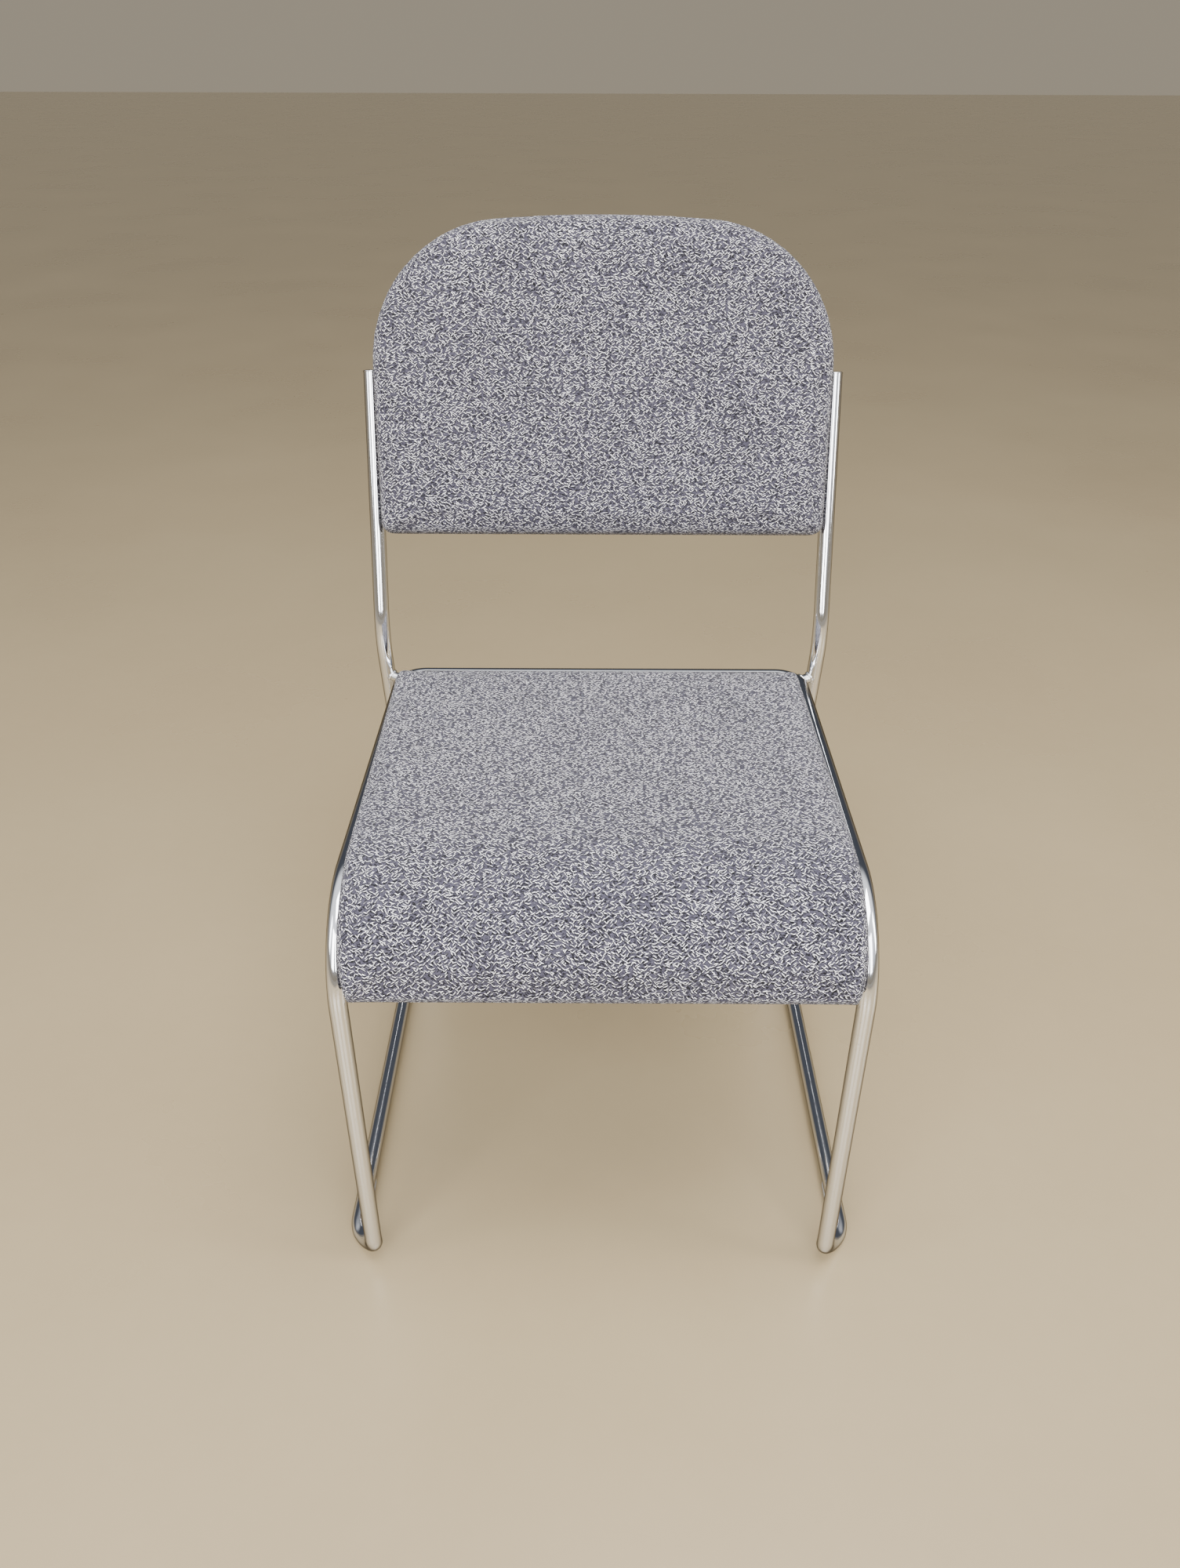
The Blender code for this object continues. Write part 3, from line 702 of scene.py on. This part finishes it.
def make_brace():
    """The plain tube under the seat board, with a weld seam on the inside of each rail."""
    ends = [Vector((x, BRACE_Y, BRACE_Z)) for x in (-INNER_X, 0.0, INNER_X)]
    mesh = tube_mesh("brace", ends, BRACE_R, sides=32)
    add_piece("seat_cross_brace", mesh, zinc, ["seat_brace"], TUBE_SHARP)
    rail_axis = Vector((0, 1, 0))
    for side_name, side in SIDES.items():
        rail = Vector((side * INNER_X, BRACE_Y, RAIL_Z))
        start = Vector((side * (INNER_X - TUBE_R), BRACE_Y, BRACE_Z))
        out = Vector((side, 0, 0))
        loop = bead_round(out, start, BRACE_SEAM_R, rail, rail_axis, TUBE_R)
        bead = bead_mesh("bead_brace", loop, BRACE_BEAD_R, ripples=10)
        add_piece(f"weld_brace_{side_name}", bead, zinc)


def back_matrix():
    """x across, z up the upright and -y forward, about the kink, leaned back."""
    kink = Matrix.Translation((0, KINK_Y, KINK_Z))
    return kink @ Matrix.Rotation(-RECLINE, 4, "X")


def spun_mesh(name, profile, steps=40):
    """A closed turned piece from its (radius, height) profile, listed from the top down."""
    rings = [(r, z) for r, z in profile if r > 0]
    angles = np.linspace(0, 2 * math.pi, steps, endpoint=False)
    points = [(r * math.cos(a), r * math.sin(a), z) for r, z in rings for a in angles]
    points += [(0, 0, profile[0][1]), (0, 0, profile[-1][1])]
    top, bottom = len(points) - 2, len(points) - 1
    last = (len(rings) - 1) * steps
    faces = []
    for j in range(steps):
        k = (j + 1) % steps
        faces.append((top, j, k))
        faces.append((bottom, last + k, last + j))
        for i in range(len(rings) - 1):
            a = i * steps
            faces.append((a + k, a + j, a + steps + j, a + steps + k))
    return mesh_of(name, points, faces)


def domed(radius, base, rise, last_angle, count):
    """The (radius, height) profile of a dome on this base, from its top down to near its foot."""
    angles = np.linspace(0, last_angle, count)
    return [(radius * math.sin(a), base + rise * math.cos(a)) for a in angles]


def make_plugs():
    """The plug with a low dome in the open top of each upright."""
    lift, chamfer = 0.0002, 0.0003
    stem_r, stem_length = 0.0062, 0.011
    dome = domed(CAP_R, base=0.0004, rise=0.0016, last_angle=1.45, count=9)
    foot = [(CAP_R, chamfer), (CAP_R - chamfer, 0.0), (stem_r, 0.0)]
    stem = [(stem_r, -stem_length), (0, -stem_length)]
    for side_name, side in SIDES.items():
        mesh = spun_mesh(f"plug_{side_name}", dome + foot + stem)
        top = Matrix.Translation((side * UPRIGHT_X, 0, UPRIGHT_LENGTH + lift))
        mesh.transform(back_matrix() @ top)
        replaced = [f"upright_cap_{side_name}"]
        add_piece(f"upright_plug_{side_name}", mesh, chrome, replaced, TUBE_SHARP)


def refined(node_name, new_name, material, bevel=None):
    """A smooth-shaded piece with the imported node's own shape, its edges eased if bevel is given."""
    shape = bmesh.new()
    shape.from_mesh(frame["nodes"][node_name].data)
    bmesh.ops.remove_doubles(shape, verts=shape.verts, dist=2e-6)
    bmesh.ops.dissolve_limit(
        shape, angle_limit=math.radians(0.5), verts=shape.verts, edges=shape.edges
    )
    mesh = bpy.data.meshes.new(new_name)
    shape.to_mesh(mesh)
    shape.free()
    if bevel:
        settings = {
            "width": bevel,
            "segments": 3,
            "limit_method": "ANGLE",
            "angle_limit": math.radians(35),
        }
        mesh = with_modifiers(mesh, [("BEVEL", settings)])
    add_piece(new_name, mesh, material, [node_name], PART_SHARP)


def make_small_parts():
    """The glides, brackets, boards and lining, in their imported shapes."""
    eased_by = 0.0005
    for side_name in SIDES:
        for end in ENDS:
            place = f"{end}_{side_name}"
            refined(f"glide_{place}", f"floor_glide_{place}", nylon)
            refined(f"seat_tab_{place}", f"seat_bracket_{place}", zinc, eased_by)
        for level in LEVELS:
            place = f"{level}_{side_name}"
            refined(f"back_tab_{place}", f"back_bracket_{place}", chrome, eased_by)
    refined("seat_board", "seat_plywood", plywood)
    refined("back_panel", "back_shell", shell, bevel=0.0009)
    refined("seat_lining", "seat_underlining", lining)


def cross_prism(half_long, half_wide, low, high):
    """A prism from low to high whose outline is a cross with four equal arms."""
    quarter = [(half_long, -half_wide), (half_long, half_wide), (half_wide, half_wide)]
    outline = []
    for _ in range(4):
        outline += quarter
        quarter = [(-y, x) for x, y in quarter]
    count = len(outline)
    points = [(x, y, z) for z in (low, high) for x, y in outline]
    faces = [tuple(reversed(range(count))), tuple(range(count, 2 * count))]
    for i in range(count):
        j = (i + 1) % count
        faces.append((i, j, j + count, i + count))
    return mesh_of("recess", points, faces)


def screw_mesh():
    """A pan-head screw with a cross recess, its head above z = 0."""
    head = domed(SCREW_HEAD_R, base=0, rise=SCREW_HEAD, last_angle=1.5, count=10)
    shank = [(SCREW_HEAD_R, 0.0), (SCREW_R, 0.0), (SCREW_R, -SCREW_TIP_STARTS)]
    blank = spun_mesh("screw", head + shank + [(0, -SCREW_LENGTH)], steps=32)
    recess = cross_prism(RECESS_HALF_LONG, RECESS_HALF_WIDE, RECESS_FLOOR, RECESS_TOP)
    cutter = bpy.data.objects.new("recess", recess)
    bpy.context.scene.collection.objects.link(cutter)
    made = with_modifiers(blank, [("BOOLEAN", {"operation": "DIFFERENCE", "object": cutter})])
    bpy.data.objects.remove(cutter)
    return made


def place_screw(name, screw, matrix, node_name):
    """A copy of the screw, moved by the matrix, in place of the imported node."""
    mesh = screw.copy()
    mesh.transform(matrix)
    add_piece(name, mesh, zinc, [node_name], PART_SHARP)


def place_screws():
    """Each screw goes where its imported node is, with its head's seat on the node's own."""
    screw = screw_mesh()
    to_local = np.array(back_matrix().inverted())
    for side_name in SIDES:
        for end in ENDS:
            low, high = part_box(f"seat_screw_{end}_{side_name}")
            middle = (low + high) / 2
            seat = Vector((middle.x, middle.y, low.z + SCREW_HEAD))
            matrix = Matrix.Translation(seat) @ Matrix.Rotation(math.pi, 4, "X")
            name = f"seat_bolt_{end}_{side_name}"
            place_screw(name, screw, matrix, f"seat_screw_{end}_{side_name}")
        for level in LEVELS:
            node_name = f"back_screw_{level}_{side_name}"
            packed = points_of(frame["nodes"][node_name].data)
            local = packed @ to_local[:3, :3].T + to_local[:3, 3]
            middle = (local.min(0) + local.max(0)) / 2
            seat = Vector((middle[0], local[:, 1].max() - SCREW_HEAD, middle[2]))
            turn = Matrix.Rotation(-math.pi / 2, 4, "X")
            matrix = back_matrix() @ Matrix.Translation(seat) @ turn
            name = f"back_bolt_{level}_{side_name}"
            place_screw(name, screw, matrix, node_name)


# Pads


def seat_outline():
    """(x, s) round the seat: small front corners, a taper, then the round rear corners."""
    foot_r, rear_r = 0.004, 0.011
    short_of_side = -0.1
    taper_steps = 8
    foot = (SEAT_FRONT_HALF - foot_r, SEAT_FRONT_S + foot_r)
    right = arc(foot, foot_r, -math.pi / 2, short_of_side)
    for i in range(1, taper_steps + 1):
        part = i / taper_steps
        x = SEAT_FRONT_HALF + (SEAT_HALF - SEAT_FRONT_HALF) * math.sin(part * math.pi / 2)
        right.append((x, SEAT_FRONT_S + foot_r + (SEAT_TAPER - foot_r) * part))
    right += arc((SEAT_HALF - rear_r, SEAT_REAR_S - rear_r), rear_r, 0, math.pi / 2)
    return right + [(-x, s) for x, s in reversed(right)]


def back_outline():
    """(x, s) round the back: small foot corners, then large corners under a slight crown."""
    crown_step = math.radians(0.5)
    corner_x = BACK_HALF - BACK_CORNER_R
    rise = math.sqrt((BACK_CROWN_R - BACK_CORNER_R) ** 2 - corner_x**2)
    crown = (0, BACK_TOP - BACK_CROWN_R)
    corner = (corner_x, crown[1] + rise)
    join = math.atan2(rise, corner_x)
    foot = (BACK_FOOT_HALF - BACK_FOOT_R, BACK_BOTTOM + BACK_FOOT_R)
    right = (
        arc(foot, BACK_FOOT_R, -math.pi / 2, 0)
        + arc(corner, BACK_CORNER_R, 0, join)
        + arc(crown, BACK_CROWN_R, join, math.pi / 2, crown_step)[1:]
    )
    return right + [(-x, s) for x, s in reversed(right[:-1])]


def inset_outline(outline, inset):
    """The closed outline, drawn anticlockwise, moved inwards by inset."""
    pts = np.array(outline)
    ahead, behind = np.roll(pts, -1, 0), np.roll(pts, 1, 0)
    along = ahead - behind
    along /= np.linalg.norm(along, axis=1)[:, None]
    return pts - inset * np.column_stack([along[:, 1], -along[:, 0]])


def flat_pad(outline, thickness, edge_r, foot_r):
    """A remeshed slab on w = 0 with rounded edges, the shape a pad swells from."""
    shape = bmesh.new()
    floor_face = shape.faces.new([shape.verts.new((x, s, 0)) for x, s in outline])
    raised = bmesh.ops.extrude_face_region(shape, geom=[floor_face])["geom"]
    lifted = [v for v in raised if isinstance(v, bmesh.types.BMVert)]
    bmesh.ops.translate(shape, verts=lifted, vec=(0, 0, thickness))
    bmesh.ops.recalc_face_normals(shape, faces=shape.faces)
    for height, radius in ((thickness, edge_r), (0, foot_r)):
        rim = [e for e in shape.edges if all(abs(v.co.z - height) < 1e-6 for v in e.verts)]
        bmesh.ops.bevel(
            shape, geom=rim, offset=radius, segments=5, profile=0.5, affect="EDGES"
        )
    mesh = bpy.data.meshes.new("slab")
    shape.to_mesh(mesh)
    shape.free()
    settings = {"mode": "VOXEL", "voxel_size": PAD_VOXEL, "adaptivity": 0.0}
    return with_modifiers(mesh, [("REMESH", settings)])


def swell(mesh, pinned_below, cap):
    """Inflates the mesh as cloth, held under w = pinned_below; no point moves by more than cap."""
    start = points_of(mesh)
    obj = bpy.data.objects.new("cloth", mesh)
    bpy.context.scene.collection.objects.link(obj)
    held = obj.vertex_groups.new(name="held")
    held.add([int(i) for i in np.nonzero(start[:, 2] < pinned_below)[0]], 1.0, "REPLACE")
    cloth = obj.modifiers.new("cloth", "CLOTH")
    cloth.settings.use_pressure = True
    cloth.settings.uniform_pressure_force = PRESSURE
    cloth.settings.vertex_group_mass = "held"
    cloth.settings.quality = 6
    cloth.settings.effector_weights.gravity = 0.0
    cloth.point_cache.frame_start = 1
    cloth.point_cache.frame_end = CLOTH_FRAMES
    for number in range(1, CLOTH_FRAMES + 1):
        bpy.context.scene.frame_set(number)
    swollen = evaluated_mesh(obj)
    end = points_of(swollen)
    bpy.data.objects.remove(obj)
    bpy.context.scene.frame_set(1)
    moved = end - start
    moved[:, :2] *= SIDE_SHARE
    length = np.linalg.norm(moved, axis=1)
    limit = cap * np.tanh(length / cap)
    moved *= (limit / np.maximum(length, 1e-9))[:, None]
    set_points(swollen, start + moved)
    return swollen


def eased(mesh):
    """Evens out the remesh's steps, then subdivides once."""
    smoothing = {"factor": 0.5, "iterations": 1}
    once = {"levels": 1, "render_levels": 1}
    return with_modifiers(mesh, [("SMOOTH", smoothing), ("SUBSURF", once)])


def fitted(mesh, low, high):
    """Stretches the mesh to fill the box from low to high."""
    pts = points_of(mesh)
    least, most = pts.min(0), pts.max(0)
    set_points(mesh, np.array(low) + (pts - least) * (np.array(high) - low) / (most - least))


def lay_weave(mesh, top):
    """Stores where each point lies on the unrolled cloth, so the weave runs over the edges."""
    edge_starts, edge_span = 0.15, 0.5
    pts = points_of(mesh)
    normals = np.empty(len(mesh.vertices) * 3)
    mesh.vertices.foreach_get("normal", normals)
    normals = normals.reshape(-1, 3)
    flat = np.linalg.norm(normals[:, :2], axis=1)
    share = np.clip((flat - edge_starts) / edge_span, 0, 1)
    share = share * share * (3 - 2 * share)
    out = normals[:, :2] / np.maximum(flat, 1e-6)[:, None]
    drop = np.maximum(top - pts[:, 2], 0) * share
    laid = np.zeros_like(pts)
    laid[:, :2] = pts[:, :2] + out * drop[:, None]
    attribute = mesh.attributes.new("weave", "FLOAT_VECTOR", "POINT")
    attribute.data.foreach_set("vector", laid.astype(np.float32).ravel())


def seat_place(pts):
    """Carries flat (x, s, w) on to the seat: level at the back, over the bend at the front."""
    x, s, w = pts.T
    angle = np.maximum(-s, 0) / SEAT_MID_R
    r = SEAT_LOW_R + w
    y = BEND_Y + np.maximum(s, 0) - r * np.sin(angle)
    z = BEND_Z + r * np.cos(angle)
    return np.column_stack([x - SEAT_DRIFT * (y - LEG_Y), y, z])


def back_place(pts):
    """Carries flat (x, s, w) on to the leaning back."""
    x, s, w = pts.T
    local = np.column_stack([x, -(BACK_REAR + w), s])
    turn = np.array(back_matrix())
    return local @ turn[:3, :3].T + turn[:3, 3]


def outward(mesh):
    """Turns every face to look outwards."""
    shape = bmesh.new()
    shape.from_mesh(mesh)
    bmesh.ops.recalc_face_normals(shape, faces=shape.faces)
    shape.to_mesh(mesh)
    shape.free()


def make_pad(name, outline, box, lay, replaced, cap, edge_r, foot_r, pinned_below):
    """A pad that fills a flat box, (half width, lowest s, highest s, thickness), then is laid."""
    half_x, low_s, high_s, thickness = box
    slab_outline = inset_outline(outline, PAD_INSET)
    mesh = flat_pad(slab_outline, thickness - cap * ROOM_SHARE, edge_r, foot_r)
    mesh = swell(mesh, pinned_below, cap)
    mesh = eased(mesh)
    fitted(mesh, (-half_x, low_s, PAD_LIFT), (half_x, high_s, thickness))
    lay_weave(mesh, thickness)
    set_points(mesh, lay(points_of(mesh)))
    outward(mesh)
    pad = add_piece(name, mesh, tweed, replaced)


def make_pads():
    """The seat pad, over the bend, and the back pad, on the leaning back."""
    make_pad(
        "seat_pad",
        seat_outline(),
        (SEAT_HALF, SEAT_FRONT_S, SEAT_REAR_S, SEAT_T),
        seat_place,
        ["seat_cover", "seat_foam"],
        cap=0.0028,
        edge_r=0.0045,
        foot_r=0.001,
        pinned_below=0.003,
    )
    make_pad(
        "back_pad",
        back_outline(),
        (BACK_HALF, BACK_BOTTOM, BACK_TOP, BACK_FRONT - BACK_REAR),
        back_place,
        ["back_cover", "back_foam", "back_board"],
        cap=0.0034,
        edge_r=0.0060,
        foot_r=0.003,
        pinned_below=0.011,
    )


# Room


def make_stage():
    """The floor, large enough that its end lies far from the chair."""
    shape = bmesh.new()
    bmesh.ops.create_grid(shape, x_segments=2, y_segments=2, size=30.0)
    mesh = bpy.data.meshes.new("floor")
    shape.to_mesh(mesh)
    shape.free()
    mesh.materials.append(floor_material())
    floor = bpy.data.objects.new("floor", mesh)
    bpy.context.scene.collection.objects.link(floor)


def area_light(name, place, aim_height, size, power, colour):
    """A rectangular lamp aimed at the chair's axis."""
    data = bpy.data.lights.new(name, "AREA")
    data.shape = "RECTANGLE"
    data.size, data.size_y = size
    data.energy = power
    data.color = colour
    lamp = bpy.data.objects.new(name, data)
    bpy.context.scene.collection.objects.link(lamp)
    lamp.location = place
    aim = Vector((0, 0, aim_height)) - Vector(place)
    lamp.rotation_euler = aim.to_track_quat("-Z", "Y").to_euler()


def make_lights():
    """Soft lamps overhead and at the sides, and two wide ones in front.

    The front legs mirror the floor, so the front lamps show in them by their gleam on it.
    """
    cool, mild, warm = (0.97, 0.985, 1.0), (1.0, 0.99, 0.97), (1.0, 0.985, 0.965)
    area_light("overhead", (0.3, -0.6, 2.9), 0.3, (1.9, 1.3), 105, warm)
    area_light("left_soft", (-2.6, -1.4, 1.9), 0.4, (0.8, 1.8), 28, cool)
    area_light("right_soft", (2.7, -0.9, 1.7), 0.4, (0.7, 1.8), 42, mild)
    area_light("front_left", (-1.1, -2.7, 1.9), 0.2, (1.3, 2.2), 105, mild)
    area_light("front_right", (0.8, -2.8, 1.9), 0.2, (1.3, 2.2), 90, mild)


def make_world():
    """Haze at and below the horizon; above it, bright in front of the chair and dim behind."""
    dim, bright = (0.050, 0.054, 0.064, 1), (0.92, 0.93, 0.95, 1)
    low_haze = (0.205, 0.180, 0.140, 1)
    world = bpy.data.worlds.new("studio")
    bpy.context.scene.world = world
    world.use_nodes = True
    tree = world.node_tree
    direction = node(tree, "TexCoord").outputs["Generated"]
    parts = node(tree, "SeparateXYZ", {"Vector": direction}).outputs
    rear = spread(tree, parts["Y"], -0.2, 1.0, smooth=True)
    lift = maths(tree, "SUBTRACT", parts["Z"], rear)
    up = spread(tree, lift, -0.15, 0.60, smooth=True)
    sky = blend_colours(tree, up, dim, bright)
    haze = spread(tree, parts["Z"], 0.03, 0.28, smooth=True)
    sky = blend_colours(tree, haze, low_haze, sky)
    background = tree.nodes["Background"]
    feed(tree, background.inputs["Color"], sky)
    background.inputs["Strength"].default_value = 1.6


def make_camera():
    """The camera at the photograph's place and angle."""
    yaw, pitch, roll = (math.radians(a) for a in (-0.1573, 32.3735, 0.1756))
    place = Vector((-0.0084, LEG_Y - 0.7201, 1.0122))
    flat = math.cos(pitch)
    ahead = Vector((math.sin(yaw) * flat, math.cos(yaw) * flat, -math.sin(pitch)))
    right = Vector((math.cos(yaw), -math.sin(yaw), 0))
    up = right.cross(ahead)
    right, up = (
        right * math.cos(roll) + up * math.sin(roll),
        up * math.cos(roll) - right * math.sin(roll),
    )
    data = bpy.data.cameras.new("camera")
    data.sensor_fit = "VERTICAL"
    data.sensor_height = 36.0
    data.lens = 26.91
    camera = bpy.data.objects.new("camera", data)
    bpy.context.scene.collection.objects.link(camera)
    turn = Matrix((right, up, -ahead)).transposed().to_4x4()
    camera.matrix_world = Matrix.Translation(place) @ turn
    bpy.context.scene.camera = camera


def paint_packed_nodes():
    """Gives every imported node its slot's material."""
    slots = {row["node"]: row["material_slot"] for row in frame["record"]["subparts"]}
    for node_name, obj in frame["nodes"].items():
        for index in range(len(obj.data.materials)):
            obj.data.materials[index] = SLOT_MATERIALS[slots[node_name]]


make_frame()
make_lugs()
make_brace()
make_plugs()
make_small_parts()
place_screws()
make_pads()
paint_packed_nodes()
make_stage()
make_lights()
make_world()
make_camera()
